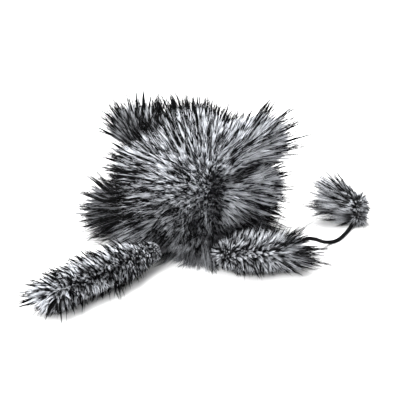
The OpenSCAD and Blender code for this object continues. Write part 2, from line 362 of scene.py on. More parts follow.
underfurMaterial = furMaterial("silkyUnderfur", furLook["underfur"], furLook["underfurShine"])
guardMaterial = furMaterial("blackGuardHair", furLook["guard"], furLook["guardShine"])


def skinSamples(skin, density, rng, keep=None):
    # scatters so many roots a square millimetre over a skin, with the skin's smooth normals
    mesh = skin.data
    mesh.calc_loop_triangles()
    co = np.empty(len(mesh.vertices) * 3)
    mesh.vertices.foreach_get("co", co)
    no = np.empty(len(mesh.vertices) * 3)
    mesh.vertex_normals.foreach_get("vector", no)
    tri = np.empty(len(mesh.loop_triangles) * 3, dtype=np.int32)
    mesh.loop_triangles.foreach_get("vertices", tri)
    co, no, tri = co.reshape(-1, 3), no.reshape(-1, 3), tri.reshape(-1, 3)
    p = co[tri]
    area = 0.5 * np.linalg.norm(np.cross(p[:, 1] - p[:, 0], p[:, 2] - p[:, 0]), axis=1)
    squareMillimetres = area.sum() * 1e6
    count = int(squareMillimetres * density)
    pick = rng.choice(len(tri), count, p=area / area.sum())
    u, v = rng.random(count), rng.random(count)
    over = u + v > 1
    u[over], v[over] = 1 - u[over], 1 - v[over]
    w = 1 - u - v
    roots = p[pick, 0] * w[:, None] + p[pick, 1] * u[:, None] + p[pick, 2] * v[:, None]
    normals = unit(no[tri[pick, 0]] * w[:, None] + no[tri[pick, 1]] * u[:, None]
                   + no[tri[pick, 2]] * v[:, None])
    if keep is not None:
        chosen = keep(roots, normals)
        roots, normals = roots[chosen], normals[chosen]
    return roots, normals


def nearestLeader(roots, leaders):
    # index of each root's nearest leader, found by sorting space into cells
    cell = 0.006
    table = {}
    leaderKeys = np.floor(leaders / cell).astype(int)
    for i, key in enumerate(map(tuple, leaderKeys)):
        table.setdefault(key, []).append(i)
    rootKeys = np.floor(roots / cell).astype(int)
    order, inverse = np.unique(rootKeys, axis=0, return_inverse=True)
    inverse = inverse.ravel()
    best = np.zeros(len(roots), dtype=int)
    steps = [(x, y, z) for x in (-1, 0, 1) for y in (-1, 0, 1) for z in (-1, 0, 1)]
    sortedRoots = np.argsort(inverse, kind="stable")
    bounds = np.searchsorted(inverse[sortedRoots], np.arange(len(order) + 1))
    for number, (cx, cy, cz) in enumerate(order):
        cells = [(cx + x, cy + y, cz + z) for x, y, z in steps]
        near = [i for key in cells for i in table.get(key, ())]
        members = sortedRoots[bounds[number]:bounds[number + 1]]
        if not near:
            best[members] = ((leaders - roots[members[0]]) ** 2).sum(1).argmin()
            continue
        near = np.array(near)
        d = ((roots[members, None, :] - leaders[None, near, :]) ** 2).sum(2)
        best[members] = near[d.argmin(1)]
    return best


def combedLines(roots, normals, flow, length, look, scatter, rng):
    # middle lines: out along the normal and the flow, then bending over and drooping
    rings = look["rings"]
    t = np.linspace(0, 1, rings)[None, :, None]
    start = unit(normals * look["rise"] + flow + rng.normal(0, scatter, roots.shape))
    over = flow * look["bend"] + np.array([0, 0, -look["droop"]])
    line = roots[:, None, :] + length[:, None, None] * (start[:, None, :] * t
                                                       + over[:, None, :] * t * t * 0.5)
    return line


# hairs that would go through the floor lie in a thin layer on it, and none stands further past the
# frame's box than the margin and one part of each side
furRoom = {"floorHeight": 0.0006, "layerShare": 0.12, "layerDepth": 0.004,
           "margin": 0.0095, "partsOfSide": 40}


def keepAboveFloor(line):
    floor = furRoom["floorHeight"]
    height = line[:, :, 2]
    depth = np.minimum(np.abs(height - floor), furRoom["layerDepth"])
    line[:, :, 2] = np.where(height < floor, floor + furRoom["layerShare"] * depth, height)
    return line


def keepInside(line):
    # a hair that would stand too far out is cut shorter
    low, high = (np.array(c) for c in cadBox)
    room = (high - low) / furRoom["partsOfSide"] + furRoom["margin"]
    low, high = low - room, high + room
    root, reach = line[:, 0], line[:, -1] - line[:, 0]
    share = np.ones(len(line))
    for axis in range(3):
        over = root[:, axis] + reach[:, axis] > high[axis]
        under = root[:, axis] + reach[:, axis] < low[axis]
        share[over] = np.minimum(share[over], (high[axis] - root[over, axis]) / reach[over, axis])
        share[under] = np.minimum(share[under], (low[axis] - root[under, axis]) / reach[under, axis])
    return root[:, None, :] + (line - root[:, None, :]) * share[:, None, None]


def gathered(line, length, guide, which, pull):
    # draws each strand towards its guide, more so towards the tip
    scale = (length / guide["length"][which])[:, None, None]
    guideRoot = guide["roots"][which][:, None, :]
    offset = (guide["line"][which] - guideRoot) * scale
    return line * (1 - pull) + (guideRoot + offset) * pull


def keepWithin(line, centre, reach, trim):
    # a hair that would end too far from the centre is cut shorter
    far = np.linalg.norm(line[:, -1] - np.array(centre), axis=1)
    share = np.minimum(1, reach / far) ** trim
    return line[:, :1] + (line - line[:, :1]) * share[:, None, None]


# the three levels of fur, and the names of their settings in a look
furLevels = {"locks": {"scatter": "scatter"},
             "wisps": {"above": "locks", "shortest": "wispShort", "scatter": "wispScatter",
                       "pull": "wispPull"},
             "hairs": {"above": "wisps", "shortest": "shortest", "scatter": "hairScatter",
                       "pull": "pull"}}


def growFur(name, skin, flowOf, lengthOf, look, material, rng, keep=None, shadeOf=None, limit=None):
    # hairs gather into wisps, and wisps into locks
    t = np.linspace(0, 1, look["rings"])[None, :, None]
    groups = {}
    for level, settings in furLevels.items():
        roots, normals = skinSamples(skin, look[level], rng, keep)
        length = lengthOf(roots, normals)
        if level == "locks":
            length = length * rng.uniform(*strandShape["lockSpread"], len(roots))
        else:
            above = groups[settings["above"]]
            which = nearestLeader(roots, above["roots"])
            length = above["length"][which] * rng.uniform(look[settings["shortest"]], 1.0, len(roots))
        if level == "hairs":
            stray = rng.random(len(roots)) < look["strays"]
            length = np.where(stray, length * look["strayReach"], length)
        line = combedLines(roots, normals, flowOf(roots, normals), length, look,
                           look[settings["scatter"]], rng)
        if level != "locks":
            line = gathered(line, length, above, which,
                            look[settings["pull"]] * t ** look["pullCurve"])
        shade = rng.beta(2.0, 2.0, len(roots))
        if level != "locks":
            own = look["ownShade"] if level == "hairs" else 0.5
            shade = own * shade + (1 - own) * above["shade"][which]
        groups[level] = {"roots": roots, "length": length, "line": line, "shade": shade}
    hairs = groups["hairs"]
    line = keepInside(hairs["line"])
    if limit is not None:
        line = keepWithin(line, **limit)
    line = keepAboveFloor(line)
    shade = np.clip(look["lightShare"] + (hairs["shade"] - 0.5) * look["shadeSpread"], 0, 0.999)
    # shadeOf scales each hair's grey by its root's place: painted shade on the hood and the tuft, and
    # on the straps painted shade at the root with their own grey further out
    if shadeOf is not None:
        shade = shade * shadeOf(hairs["roots"])
    along, widest = t[:, :, 0], strandShape["thickestAt"]
    swelling = look["rootThin"] + (1 - look["rootThin"]) * np.minimum(along / widest, 1)
    narrowing = 1 - look["taper"] * np.maximum(along - widest, 0) / (1 - widest)
    thick = look["thick"] * rng.uniform(*strandShape["thickSpread"], len(line))[:, None]
    piece = strandMesh(name, line, thick * swelling * narrowing, shade, material)
    print(name, len(line), "strands,", len(piece.data.polygons), "faces")
    return piece


# finishes of the cloth, foam and small parts
finishLook = {"bumpStrength": 0.6, "roughnessSpread": 0.15, "grainDetail": 4, "weaveDetail": 1,
              "weaveWander": 0.6}


def patternMaterial(name, pattern, scale, dark, light, roughness, depth, stretch=(1, 1, 1)):
    # a repeating pattern on the piece's own place, which sets colour, bump and roughness
    mat, nodes, links, shader = newMaterial(name)
    place = nodes.new("ShaderNodeTexCoord")
    mapping = nodes.new("ShaderNodeMapping")
    mapping.inputs["Scale"].default_value = stretch
    links.new(place.outputs["Object"], mapping.inputs["Vector"])
    if pattern == "cells":
        texture = nodes.new("ShaderNodeTexVoronoi")
        value = texture.outputs["Distance"]
    elif pattern == "grain":
        texture = nodes.new("ShaderNodeTexNoise")
        texture.inputs["Detail"].default_value = finishLook["grainDetail"]
        value = texture.outputs["Fac"]
    else:
        texture = nodes.new("ShaderNodeTexWave")
        texture.bands_direction = pattern
        texture.inputs["Distortion"].default_value = finishLook["weaveWander"]
        texture.inputs["Detail"].default_value = finishLook["weaveDetail"]
        value = texture.outputs["Fac"]
    texture.inputs["Scale"].default_value = scale
    links.new(mapping.outputs["Vector"], texture.inputs["Vector"])
    ramp = nodes.new("ShaderNodeValToRGB")
    ramp.color_ramp.elements[0].color = (*dark, 1)
    ramp.color_ramp.elements[1].color = (*light, 1)
    links.new(value, ramp.inputs["Fac"])
    links.new(ramp.outputs["Color"], shader.inputs["Base Color"])
    bump = nodes.new("ShaderNodeBump")
    bump.inputs["Strength"].default_value = finishLook["bumpStrength"]
    bump.inputs["Distance"].default_value = depth
    links.new(value, bump.inputs["Height"])
    links.new(bump.outputs["Normal"], shader.inputs["Normal"])
    spread = nodes.new("ShaderNodeMapRange")
    spread.inputs["To Min"].default_value = roughness
    spread.inputs["To Max"].default_value = min(1, roughness + finishLook["roughnessSpread"])
    links.new(value, spread.inputs["Value"])
    links.new(spread.outputs["Result"], shader.inputs["Roughness"])
    return mat


# pattern, scale, dark and light shade, roughness, bump depth, stretch
finishTable = {
    "knitBacking": ("DIAGONAL", 420, (0.008, 0.008, 0.009), (0.03, 0.03, 0.032), 0.8, 0.0002),
    "liningMesh": ("cells", 700, (0.006, 0.006, 0.007), (0.045, 0.045, 0.048), 0.7, 0.0003),
    "openCellFoam": ("cells", 900, (0.006, 0.006, 0.006), (0.06, 0.06, 0.063), 0.85, 0.0004),
    "bindingTape": ("Z", 500, (0.01, 0.01, 0.011), (0.04, 0.04, 0.042), 0.7, 0.0002),
    "bindingThread": ("DIAGONAL", 900, (0.006, 0.006, 0.006), (0.03, 0.03, 0.03), 0.6, 0.0001),
    "elasticRib": ("Z", 260, (0.008, 0.008, 0.009), (0.035, 0.035, 0.037), 0.55, 0.0004),
    "webbing": ("DIAGONAL", 300, (0.01, 0.01, 0.012), (0.045, 0.045, 0.05), 0.65, 0.0004, (1, 1, 2)),
    "plainBraid": ("DIAGONAL", 380, (0.006, 0.006, 0.007), (0.02, 0.02, 0.022), 0.5, 0.0003),
    "blackEyelet": ("grain", 900, (0.012, 0.012, 0.013), (0.03, 0.03, 0.031), 0.3, 0.00005),
    "bead": ("grain", 500, (0.02, 0.02, 0.02), (0.045, 0.045, 0.045), 0.45, 0.0001)}
finishes = {name: patternMaterial(name, *values) for name, values in finishTable.items()}
finishes["blackEyelet"].node_tree.nodes["Principled BSDF"].inputs["Metallic"].default_value = 1.0
print(len(finishes), "finishes ready")


# the cloth under the fur: a rounded box with a crown on each face, and its corners as balls
hoodShape = {"voxel": 0.0025, "smooth": 10, "smoothFactor": 0.6, "edgeRound": 0.016, "edgeSteps": 6,
             "clothThick": 0.0012, "overLining": 0.001, "mouthHeight": 0.0065,
             "crown": 0.008, "crownFront": 0.009, "crownDepth": 0.012, "crownLift": 0.004,
             "crownWidth": 0.86, "crownHeight": 0.84,
             "earNeck": 0.8, "earNeckLift": 0.18, "earNeckSize": 1.05,
             "earLeft": ((-0.050, -0.015, 0.090), 0.012), "lobeLeft": ((-0.062, -0.030, 0.022), 0.010),
             "earRight": ((0.041, 0.030, 0.082), 0.015), "lobeRight": ((0.039, 0.014, 0.046), 0.019)}

liningLow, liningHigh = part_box("mesh_lining")
overLining = hoodShape["overLining"]
clothLow = Vector(liningLow) - Vector((overLining, overLining, 0))
clothHigh = Vector(liningHigh) + Vector((overLining, overLining, overLining))
clothMid = (clothLow + clothHigh) / 2
clothSize = clothHigh - clothLow


def applyAll(piece):
    deselectAll()
    piece.select_set(True)
    bpy.context.view_layer.objects.active = piece
    bpy.ops.object.transform_apply(location=True, rotation=True, scale=True)


def addModifier(piece, kind, **values):
    bpy.context.view_layer.objects.active = piece
    mod = piece.modifiers.new(kind.lower(), kind)
    for key, value in values.items():
        setattr(mod, key, value)
    bpy.ops.object.modifier_apply(modifier=mod.name)


def joined(parts, name):
    deselectAll()
    for part in parts:
        part.select_set(True)
    bpy.context.view_layer.objects.active = parts[0]
    bpy.ops.object.join()
    parts[0].name = name
    return parts[0]


def addBall(spot, size):
    bpy.ops.mesh.primitive_ico_sphere_add(subdivisions=4, radius=1, location=spot)
    ball = bpy.context.object
    ball.scale = size if hasattr(size, "__len__") else (size, size, size)
    applyAll(ball)
    return ball


def makeHoodSkin():
    deselectAll()
    bpy.ops.mesh.primitive_cube_add(size=1, location=clothMid)
    block = bpy.context.object
    block.scale = clothSize
    applyAll(block)
    bpy.ops.object.mode_set(mode="EDIT")
    bpy.ops.mesh.select_all(action="SELECT")
    bpy.ops.mesh.bevel(offset=hoodShape["edgeRound"], segments=hoodShape["edgeSteps"])
    bpy.ops.object.mode_set(mode="OBJECT")
    half, crown, depth = clothSize / 2, hoodShape["crown"], hoodShape["crownDepth"]
    wide, high = hoodShape["crownWidth"], hoodShape["crownHeight"]
    parts = [block]
    for axis in (0, 1):
        for side in (-1, 1):
            spot = Vector((0, 0, clothMid.z + hoodShape["crownLift"]))
            rise = hoodShape["crownFront"] if axis == 1 and side == -1 else crown
            spot[axis] = side * (half[axis] - depth)
            size = [half.x * wide, half.y * wide, half.z * high]
            size[axis] = depth + rise
            parts.append(addBall(spot, size))
    parts.append(addBall((0, 0, clothHigh.z - depth), (half.x * wide, half.y * wide, depth + crown)))
    for ear in ("earLeft", "lobeLeft", "earRight", "lobeRight"):
        spot, radius = hoodShape[ear]
        lift = Vector((0, 0, spot[2] * hoodShape["earNeckLift"]))
        parts.append(addBall(spot, radius))
        parts.append(addBall(Vector(spot) * hoodShape["earNeck"] + lift,
                             radius * hoodShape["earNeckSize"]))
    skin = joined(parts, "hoodSkin")
    addModifier(skin, "REMESH", mode="VOXEL", voxel_size=hoodShape["voxel"])
    addModifier(skin, "SMOOTH", factor=hoodShape["smoothFactor"], iterations=hoodShape["smooth"])
    return skin


hoodSkin = makeHoodSkin()
print("hood skin has", len(hoodSkin.data.polygons), "faces")

# wool and guard: a hair's length at the root, in the middle and at the tip, and how much shorter
# the tip's upper side is; bareEnd leaves out hairs that point back more than this
# shade sets the hairs' grey from the root outwards, dark at the root as painted shade where the strap
# meets the hood
straps = {
    "frontStrap": {
        "root": (0.0, -0.066, 0.014), "turn": 254, "length": 0.128, "radius": 0.0075, "start": 0.001,
        "wool": (0.004, 0.020, 0.028, 0.0), "guard": (0.005, 0.031, 0.046, 0.0),
        "lean": 1.2, "tipLean": 2.2, "tipSweep": 0.35, "bareEnd": -0.7,
        "shade": {"root": 0.56, "further": 0.42, "axis": 1, "between": (-0.066, -0.090)},
        "body": "front_strap", "node": "front_strap_fur"},
    "sideStrap": {
        "root": (0.052, -0.057, 0.016), "turn": 31, "length": 0.058, "radius": 0.0085, "start": 0.0,
        "wool": (0.010, 0.018, 0.042, 0.8), "guard": (0.011, 0.024, 0.062, 0.7),
        "lean": 0.3, "tipLean": 1.8, "tipSweep": 0.0, "bareEnd": -1.1,
        "shade": {"root": 0.32, "further": 0.40, "axis": 0, "between": (0.052, 0.066)},
        "body": "side_strap", "node": "side_strap_fur"}}
strapRings = 16


def sortFaces(mesh):
    # cutting leaves faces in no fixed order, and fur is sown face by face, so they are sorted
    faces = []
    for poly in mesh.polygons:
        corners = tuple(poly.vertices)
        first = corners.index(min(corners))
        faces.append(corners[first:] + corners[:first])
    verts = [v.co.copy() for v in mesh.vertices]
    mesh.clear_geometry()
    mesh.from_pydata(verts, [], sorted(faces))
    mesh.update()


def makeStrapSkin(name, strap):
    # a round-ended sleeve, cut across into short rings
    radius = strap["radius"]
    hair = 0.00001  # the cut misses the ball's own middle ring by this much
    deselectAll()
    bpy.ops.mesh.primitive_uv_sphere_add(segments=24, ring_count=16, radius=radius,
                                         rotation=(0, math.pi / 2, 0))
    skin = bpy.context.object
    skin.name = name
    applyAll(skin)
    bpy.ops.object.mode_set(mode="EDIT")
    bpy.ops.mesh.select_all(action="SELECT")
    bpy.ops.mesh.bisect(plane_co=(hair, 0, 0), plane_no=(1, 0, 0))
    bpy.ops.object.mode_set(mode="OBJECT")
    first, last = strap["start"] + radius, strap["length"] - radius
    for v in skin.data.vertices:
        v.co.x += last if v.co.x > hair / 10 else first
    bpy.ops.object.mode_set(mode="EDIT")
    for i in range(1, strapRings):
        middle = first + (last - first) * i / strapRings
        bpy.ops.mesh.select_all(action="SELECT")
        bpy.ops.mesh.bisect(plane_co=(middle, 0, 0), plane_no=(1, 0, 0))
    bpy.ops.object.mode_set(mode="OBJECT")
    skin.rotation_euler = (0, 0, math.radians(strap["turn"]))
    skin.location = strap["root"]
    applyAll(skin)
    sortFaces(skin.data)
    return skin


strapSkins = {name: makeStrapSkin(name + "Cloth", strap) for name, strap in straps.items()}
print("strap skins ready")


# fur on the hood: where each region's hairs fan out from, and how long its wool and its guard
# hairs are
hoodRegions = {"main": {"pole": (0.009, 0.012, 0.027), "wool": 0.022, "guard": 0.042},
               "back": {"pole": (-0.004, 0.006, 0.042), "wool": 0.021, "guard": 0.037},
               "rightLobe": {"pole": (0.018, -0.016, 0.050), "wool": 0.018, "guard": 0.034},
               "earRight": {"pole": (0.027, 0.006, 0.068), "wool": 0.020, "guard": 0.047},
               "earLeft": {"pole": (-0.039, -0.022, 0.070), "wool": 0.018, "guard": 0.036},
               "lobeLeft": {"pole": (-0.036, -0.026, 0.024), "wool": 0.025, "guard": 0.050},
               "leftSide": {"pole": (-0.018, -0.016, 0.048), "wool": 0.027, "guard": 0.049},
               "skirt": {"pole": (0.002, 0.004, 0.033), "wool": 0.039, "guard": 0.044},
               "topRight": {"pole": (0.006, 0.002, 0.050), "wool": 0.014, "guard": 0.030}}


def smoothStep(low, high, x):
    t = np.clip((x - low) / (high - low), 0, 1)
    return t * t * (3 - 2 * t)


# where one kind of fur gives way to the next: from none of it to all of it, in metres
furBorders = {"right": (0.036, 0.041), "rightFront": (-0.044, -0.036), "rightEar": (0.066, 0.072),
              "leftEar": (0.026, 0.014), "leftLobe": (0.028, 0.018), "leftLobeSide": (-0.036, -0.044),
              "topHeight": (0.076, 0.086), "topCorner": (0.004, 0.022), "back": (0.005, 0.03),
              "left": (-0.036, -0.041), "leftFront": (-0.048, -0.036), "leftBack": (0.02, 0.0),
              "skirt": (0.026, 0.010), "hem": (0.022, 0.010), "hollowTop": (0.036, 0.026),
              "hollowBack": (0.022, -0.002), "foldSide": (0.034, 0.042), "fold": (0.0015, 0.006),
              "seam": (0.002, 0.010), "seamBottom": (0.012, 0.024), "seamTop": (0.092, 0.080),
              "swirl": (0.040, 0.012), "lowPaintedShade": (0.006, 0.044), "darkCorner": (0.026, 0.018),
              "behindLeft": (-0.036, -0.042), "behindBack": (-0.012, -0.028)}
furLines = {"seam": (0.040, -0.036), "foldHeight": 0.069, "swirl": (0.010, 0.030), "front": -0.03,
            "earSlope": 0.25, "earMiddle": 0.01, "topSlope": 0.4}


def within(border, x):
    return smoothStep(*furBorders[border], x)


def nearBall(border, ball, p):
    return within(border, np.linalg.norm(p - np.array(hoodShape[ball][0]), axis=1))


def hoodRegionWeights(p):
    x, y, z = p.T
    right = within("right", x) * within("rightFront", y)
    earR = right * within("rightEar", z + furLines["earSlope"] * (y - furLines["earMiddle"]))
    earL = nearBall("leftEar", "earLeft", p)
    lobeL = nearBall("leftLobe", "lobeLeft", p) * within("leftLobeSide", x)
    upper = within("topHeight", z) * within("topCorner", x + furLines["topSlope"] * y) * (1 - earR)
    back = within("back", y) * (1 - right) * (1 - upper)
    left = within("left", x) * within("leftFront", y) * within("leftBack", y)
    skirt = within("skirt", z) * (y < furLines["front"]) * (1 - right) * (1 - lobeL)
    offLeft = (1 - earL) * (1 - lobeL)
    weights = {"skirt": skirt, "leftSide": left * offLeft, "rightLobe": right - earR,
               "earRight": earR, "earLeft": earL, "lobeLeft": lobeL * (1 - earL),
               "back": back * offLeft, "topRight": upper * (1 - right)}
    rest = 1 - sum(weights.values())
    weights["main"] = np.clip(rest, 0, 1)
    return weights


def tousled(p):
    # a smooth wandering direction that changes over some millimetres
    x, y, z = p.T * 1000
    return np.stack([np.sin(0.9 * x + 1.3 * z) + np.sin(1.7 * z - 0.8 * y + 2),
                     np.sin(1.1 * y + 0.7 * z + 1) + np.sin(1.5 * x - 0.6 * z),
                     np.sin(1.2 * x - 0.9 * y + 4) + np.sin(1.6 * x + 1.4 * z + 3)], 1) / 1.4


def frontSwirl(p):
    # 1 where the front panel's short crown lies, 0 away from it
    x, z = furLines["swirl"]
    return within("swirl", np.hypot(p[:, 0] - x, p[:, 2] - z)) * (p[:, 1] < furLines["front"])


def seamParting(p):
    # 0 along the front right upright seam, 1 away from it
    x, y = furLines["seam"]
    off = np.hypot(p[:, 0] - x, p[:, 1] - y)
    ends = within("seamBottom", p[:, 2]) * within("seamTop", p[:, 2])
    return 1 - ends * (1 - within("seam", off))


def sideFold(p):
    # 0 along the fold between the right side's ear and its lobe, 1 away from it
    off = np.abs(p[:, 2] - furLines["foldHeight"])
    return 1 - within("foldSide", p[:, 0]) * (1 - within("fold", off))


def strapHollow(p):
    # 0 on the short pile under the right side's lobe, darkened there as painted shade, 1 away from it
    x, y, z = p.T
    return 1 - within("right", x) * within("hollowTop", z) * within("hollowBack", y)


# what is left of the hairs' length, and of their grey under painted shade, where each of these is
# strongest
hoodLeast = {"length": {"seam": 0.4, "hollow": 0.35, "fold": 0.5, "swirl": 0.85},
             "shade": {"seam": 0.15, "hollow": 0.1, "fold": 0.3, "swirl": 0.4, "low": 0.28,
                       "ear": 0.45, "lobe": 0.5, "behind": 0.4}}
hemLonger = 0.15  # the lowest hairs are longer by this share


def atLeast(low, share):
    return low + (1 - low) * share


def shortPlaces(p):
    # 0 where each of these is strongest, 1 away from it
    return {"seam": seamParting(p), "hollow": strapHollow(p), "fold": sideFold(p),
            "swirl": 1 - frontSwirl(p)}


def lessened(value, least, places):
    for place, amount in places.items():
        value = value * atLeast(least[place], amount)
    return value


def hoodFlowOf(p, n):
    wander, swirlWander = 0.10, 0.30
    weights = hoodRegionWeights(p)
    total = sum(weights.values())
    flow = np.zeros_like(p)
    for region, w in weights.items():
        flow += (w / total)[:, None] * unit(p - np.array(hoodRegions[region]["pole"]))
    return unit(flow + (wander + swirlWander * frontSwirl(p))[:, None] * tousled(p))


def hoodLength(kind):
    def lengthOf(p, n):
        weights = hoodRegionWeights(p)
        total = sum(weights.values())
        length = sum(w / total * hoodRegions[region][kind] for region, w in weights.items())
        length = lessened(length, hoodLeast["length"], shortPlaces(p))
        return length * (1 + hemLonger * within("hem", p[:, 2]))
    return lengthOf


def guardKeep(p, rng):
    # fewer guard hairs stand on the right ear and lobe and on the top's right
    weights = hoodRegionWeights(p)
    fewer = {"earRight": 0.6, "topRight": 0.6, "rightLobe": 0.35}
    return rng.random(len(p)) < 1 - sum(share * weights[region] for region, share in fewer.items())


# painted shade: the hood's hairs are darkened along the seam, in the hollow under the right lobe, along
# the fold, at the front's crown, in the left ear's and lobe's cores, behind the front panel's left edge
# and towards the bottom, where shade falls
def hoodPaintedShade(p):
    places = shortPlaces(p)
    places["ear"] = 1 - nearBall("darkCorner", "earLeft", p)
    places["lobe"] = 1 - nearBall("darkCorner", "lobeLeft", p)
    places["behind"] = 1 - within("behindLeft", p[:, 0]) * within("behindBack", p[:, 1])
    places["low"] = within("lowPaintedShade", p[:, 2])
    return lessened(1, hoodLeast["shade"], places)


# locks, wisps and hairs are counts a square millimetre, thick is in metres, the rest are shares
hoodWool = {"locks": 0.06, "wisps": 0.75, "hairs": 2.2, "rings": 3, "thick": 0.00022,
            "rootThin": 0.6, "taper": 0.75, "rise": 0.35, "bend": 0.10, "droop": 0.08,
            "scatter": 0.14, "wispScatter": 0.15, "hairScatter": 0.12,
            "wispShort": 0.72, "shortest": 0.75, "wispPull": 0.25, "pull": 0.85, "pullCurve": 0.9,
            "strays": 0.0, "strayReach": 1.0, "ownShade": 0.4, "lightShare": 0.71, "shadeSpread": 1.35}
hoodGuard = {"locks": 0.012, "wisps": 0.14, "hairs": 0.50, "rings": 4, "thick": 0.00031,
             "rootThin": 0.9, "taper": 0.95, "rise": 0.35, "bend": 0.05, "droop": 0.08,
             "scatter": 0.10, "wispScatter": 0.12, "hairScatter": 0.05,
             "wispShort": 0.62, "shortest": 0.85, "wispPull": 0.2, "pull": 0.95, "pullCurve": 0.7,
             "strays": 0.08, "strayReach": 1.4, "ownShade": 0.2, "lightShare": 0.4, "shadeSpread": 1.0}


def panelOf(p):
    # 0 front, 1 right, 2 back, 3 left, 4 top
    half = np.array([clothSize.x / 2, clothSize.y / 2])
    side = np.abs(p[:, :2]) / half
    top = (p[:, 2] - clothMid.z) / (clothSize.z / 2)
    wall = np.where(side[:, 0] > side[:, 1], np.where(p[:, 0] > 0, 1, 3), np.where(p[:, 1] < 0, 0, 2))
    return np.where(top > np.maximum(side[:, 0], side[:, 1]), 4, wall)


panels = ["front", "right", "back", "left", "top"]
steepest = -0.8  # no hair grows where the skin faces down more than this


def onPanel(index):
    def keep(p, n):
        return (panelOf(p) == index) & (p[:, 2] > hoodShape["mouthHeight"]) & (n[:, 2] > steepest)
    return keep


def thinnedOut(keep, rng):
    def thin(p, n):
        return keep(p, n) & guardKeep(p, rng)
    return thin


hoodFur = {}
for index, panel in enumerate(panels):
    rng = np.random.default_rng(100 + index)
    keep = onPanel(index)
    wool = growFur(panel + "Underfur", hoodSkin, hoodFlowOf, hoodLength("wool"), hoodWool,
                   underfurMaterial, rng, keep, hoodPaintedShade)
    guard = growFur(panel + "GuardHair", hoodSkin, hoodFlowOf, hoodLength("guard"), hoodGuard,
                    guardMaterial, rng, thinnedOut(keep, rng))
    for piece in (wool, guard):
        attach(piece, "hood")
    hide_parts(panel + "_panel")
    hoodFur[panel + "wool"], hoodFur[panel + "guard"] = wool, guard


def panelCloth(index, panel):
    deselectAll()
    hoodSkin.select_set(True)
    bpy.context.view_layer.objects.active = hoodSkin
    bpy.ops.object.duplicate()
    cloth = bpy.context.object
    cloth.name = panel + "Cloth"
    mesh = cloth.data
    middle = np.array([poly.center[:] for poly in mesh.polygons])
    mine = (panelOf(middle) == index) & (middle[:, 2] > hoodShape["mouthHeight"])
    mesh.vertices.foreach_set("select", np.zeros(len(mesh.vertices), dtype=bool))
    mesh.edges.foreach_set("select", np.zeros(len(mesh.edges), dtype=bool))
    mesh.polygons.foreach_set("select", ~mine)
    bpy.ops.object.mode_set(mode="EDIT")
    bpy.ops.mesh.select_mode(type="FACE")
    bpy.ops.mesh.delete(type="FACE")
    bpy.ops.object.mode_set(mode="OBJECT")
    addModifier(cloth, "SOLIDIFY", thickness=hoodShape["clothThick"], offset=-1)
    area = sum(poly.area for poly in mesh.polygons) / 2
    print(panel, "cloth", round(area * 1e4), "square cm")
    return cloth


for index, panel in enumerate(panels):
    cloth = panelCloth(index, panel)
    cloth.data.materials.append(finishes["knitBacking"])
    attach(cloth, "hood")
deselectAll()
hoodSkin.select_set(True)
bpy.ops.object.delete()


def turned(turn):
    return np.array([math.cos(math.radians(turn)), math.sin(math.radians(turn)), 0.0])


def strapAlong(p, strap):
    # 0 at the strap's root, 1 at its tip
    return (p - np.array(strap["root"])) @ turned(strap["turn"]) / strap["length"]


def strapFlowOf(strap):
    tipWards, sideWards = turned(strap["turn"]), turned(strap["turn"] + 90)
    lean, tipLean, sag = strap["lean"], strap["tipLean"], np.array([0, 0, -0.10])

    def flowOf(p, n):
        tip = smoothStep(0.6, 1.0, strapAlong(p, strap))[:, None]
        amount = lean + (tipLean - lean) * tip
        return unit(n + amount * (tipWards + tip * strap["tipSweep"] * sideWards) + sag)
    return flowOf


def strapLengthOf(strap, kind):
    rootHair, midHair, tipHair, topShort = strap[kind]

    def lengthOf(p, n):
        along, up = strapAlong(p, strap), n[:, 2]
        hair = rootHair + (midHair - rootHair) * smoothStep(0.05, 0.30, along)
        tip = smoothStep(0.75, 1.0, along) * smoothStep(-0.9, -0.1, up)
        hair = hair + (tipHair - midHair) * tip * (1 - topShort * smoothStep(-0.1, 0.5, up))
        return hair * atLeast(0.42, smoothStep(-0.7, 0.6, up))  # short underneath
    return lengthOf


# the strap's hairs are darkest at the root, where the strap goes in under the hood: painted shade; the
# level further out is the strap's own grey
def strapGreyAndPaintedShadeOf(strap):
    root, further, axis, between = strap["shade"].values()
    return lambda p: root + further * smoothStep(*between, p[:, axis])


def offRoot(strap):
    return lambda p, n: n @ turned(strap["turn"]) > strap["bareEnd"]


strapWool = dict(hoodWool, locks=0.12, wisps=0.55, hairs=3.2, thick=0.0002, rise=0.4, bend=0.2,
                 droop=0.2, scatter=0.18, ownShade=0.15, lightShare=0.63, shadeSpread=3.2)
strapGuard = dict(hoodGuard, locks=0.03, wisps=0.26, hairs=1.3, thick=0.00028, rise=0.4, bend=0.15,
                  droop=0.15, scatter=0.2, wispScatter=0.2)

for name, strap in straps.items():
    skin, keep, flowOf = strapSkins[name], offRoot(strap), strapFlowOf(strap)
    rng = np.random.default_rng(200 + strap["turn"])
    under = growFur(name + "Underfur", skin, flowOf, strapLengthOf(strap, "wool"), strapWool,
                    underfurMaterial, rng, keep, strapGreyAndPaintedShadeOf(strap))
    guard = growFur(name + "GuardHair", skin, flowOf, strapLengthOf(strap, "guard"), strapGuard,
                    guardMaterial, rng, keep)
    body, node = strap["body"], strap["node"]
    skin.data.materials.append(finishes["knitBacking"])
    for piece in (under, guard, skin):
        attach(piece, body)
    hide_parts(node)

# the tuft: its hairs lean along aim and end within reach of the cord's end
tuftShape = {"knot": (0.1119, 0.0822, 0.0095), "knotSize": 0.0045, "bead": (0.109, 0.0845, 0.017),
             "beadSize": 0.0055, "voxel": 0.0008, "smooth": 6, "smoothFactor": 0.5,
             "aim": (-0.038, -0.009, 0.016), "lean": 0.1, "tipLean": 2.2, "rise": 0.8,
             "wool": (0.010, 0.046), "guard": (0.012, 0.056), "reach": 0.05684, "trim": 1.3,
             "lowPaintedShade": 0.42, "highShade": 0.38}


